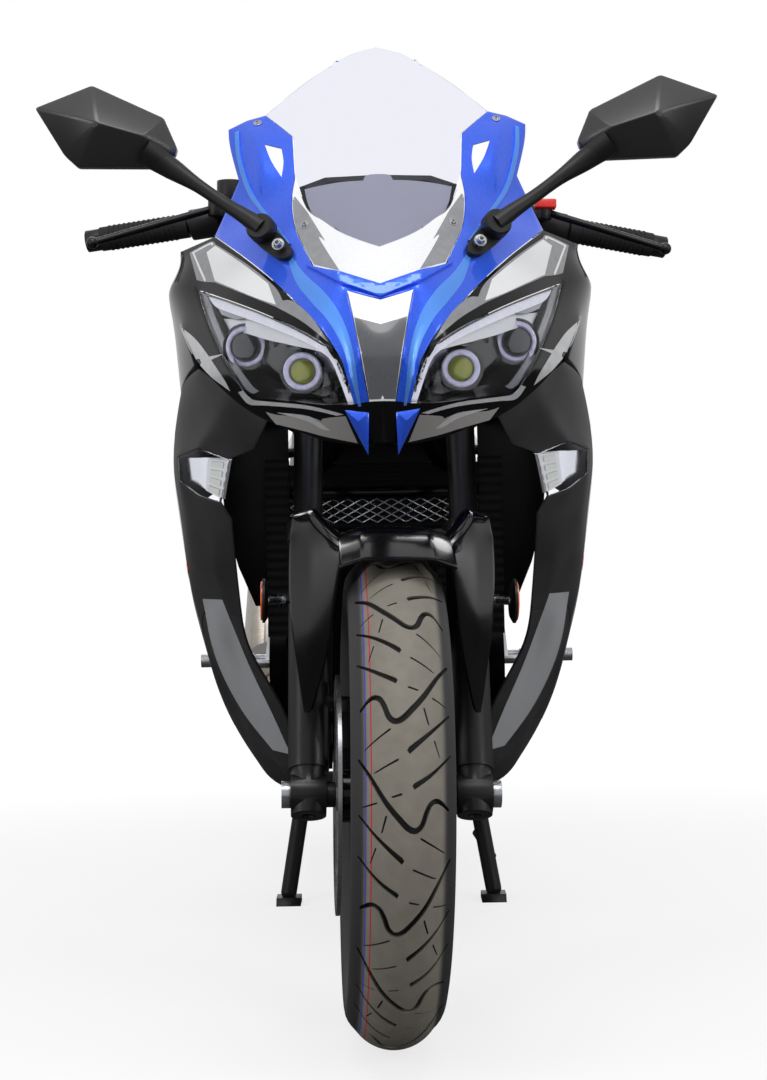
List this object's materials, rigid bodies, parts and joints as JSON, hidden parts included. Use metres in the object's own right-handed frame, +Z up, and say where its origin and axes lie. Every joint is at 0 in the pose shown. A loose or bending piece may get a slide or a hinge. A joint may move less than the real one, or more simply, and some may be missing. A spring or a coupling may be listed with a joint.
{
  "type": "sport motorcycle",
  "caption": "Sport motorcycle with a twin-lamp full fairing, upright screen, cast wheels and chain drive, parked upright on its centre stand with the bars turned slightly left.",
  "frame": {"origin": "on the ground at the centre plane, midway along the machine", "axes": "+Z up, -Y forward, +X to the rider's left"},
  "size_m": [0.82, 1.9865, 1.228],
  "materials": {
    "amber_lens": "amber reflector lens",
    "black_plastic": "moulded black plastic",
    "cast_alloy": "cast aluminium",
    "chain_steel": "oiled chain steel",
    "charcoal_plastic": "charcoal plastic with a fine grain",
    "clear_lens": "clear lamp lens over a silver reflector",
    "clear_screen": "clear acrylic with a faint cool tint",
    "disc_steel": "ground stainless steel",
    "engine_alloy": "cast aluminium painted black",
    "exhaust_steel": "brushed stainless steel",
    "gloss_black": "gloss black plastic",
    "grip_rubber": "ribbed black rubber",
    "lamp_glass": "clear polycarbonate",
    "metallic_blue": "metallic blue paint under clear coat",
    "mirror_glass": "mirror glass",
    "pearl_white": "pearl white paint",
    "plate_white": "blank white plate",
    "radiator_alloy": "black radiator core",
    "red_lens": "red lamp lens",
    "satin_black_metal": "satin black paint",
    "seat_cover": "grained black vinyl",
    "spring_steel": "red painted coil spring",
    "tyre_rubber": "black rubber, tread worn to warm grey",
    "wheel_black": "satin black powder coat",
    "zinc_steel": "zinc-plated steel"
  },
  "bodies": {
    "chassis": {"windscreen": "clear_screen", "nose_shield": "pearl_white", "nose_centre": "pearl_white", "nose_cowl": "metallic_blue", "headlight_lenses": "lamp_glass", "upper_cowl": "gloss_black", "side_fairings": "charcoal_plastic", "lower_fairing": "charcoal_plastic", "headlamps": "black_plastic", "mirrors": "gloss_black", "mirror_glasses": "mirror_glass", "instrument_panel": "black_plastic", "main_frame": "satin_black_metal", "nose_stay": "satin_black_metal", "engine": "engine_alloy", "radiator": "radiator_alloy", "swingarm": "satin_black_metal", "axle_and_pivot_bolts": "zinc_steel", "rear_shock": "spring_steel", "drive_chain": "chain_steel", "chain_guard": "black_plastic", "rear_caliper": "satin_black_metal", "fuel_tank": "metallic_blue", "tail_cowl": "metallic_blue", "rider_seat": "seat_cover", "pillion_seat": "seat_cover", "subframe": "satin_black_metal", "rear_mudguard": "black_plastic", "number_plate": "plate_white", "tail_light": "red_lens", "turn_signals": "clear_lens", "exhaust": "exhaust_steel", "footrests": "cast_alloy", "side_stand_pin": "zinc_steel"},
    "steering": {"fork_legs": "satin_black_metal", "fork_yokes": "satin_black_metal", "handlebars": "satin_black_metal", "grips": "grip_rubber", "switchgear": "black_plastic", "levers": "satin_black_metal", "front_mudguard": "gloss_black", "front_caliper": "satin_black_metal", "front_axle": "zinc_steel", "side_reflectors": "amber_lens"},
    "front_wheel": {"front_tyre": "tyre_rubber", "front_rim": "wheel_black", "front_disc": "disc_steel"},
    "rear_wheel": {"rear_tyre": "tyre_rubber", "rear_rim": "wheel_black", "rear_disc": "disc_steel", "rear_sprocket": "disc_steel"},
    "centre_stand": {"centre_stand": "satin_black_metal"},
    "side_stand": {"side_stand": "satin_black_metal"},
    "fuel_cap": {"fuel_cap": "zinc_steel"}
  },
  "joints": [
    {"name": "steering_head", "type": "hinge", "parent": "chassis", "child": "steering", "pos_m": [0, -0.39638, 0.85491], "axis": [0, 0.4226, 0.9063], "range_deg": [-36, 30]},
    {"name": "front_wheel_spin", "type": "hinge", "parent": "steering", "child": "front_wheel", "pos_m": [0.00197, -0.69995, 0.29298], "axis": [0.9986, 0.0474, -0.0221], "continuous": true},
    {"name": "rear_wheel_spin", "type": "hinge", "parent": "chassis", "child": "rear_wheel", "pos_m": [0, 0.68, 0.334], "axis": [1, 0, 0], "continuous": true},
    {"name": "centre_stand_pivot", "type": "hinge", "parent": "chassis", "child": "centre_stand", "pos_m": [0, 0.215, 0.305], "axis": [1, 0, 0], "range_deg": [0, 75]},
    {"name": "side_stand_pivot", "type": "hinge", "parent": "chassis", "child": "side_stand", "pos_m": [0.186, 0.185, 0.3], "axis": [-0.9659, 0, -0.259], "range_deg": [0, 100]},
    {"name": "fuel_cap_hinge", "type": "hinge", "parent": "chassis", "child": "fuel_cap", "pos_m": [0, -0.154, 1.0103], "axis": [1, 0, 0], "range_deg": [0, 100]}
  ]
}
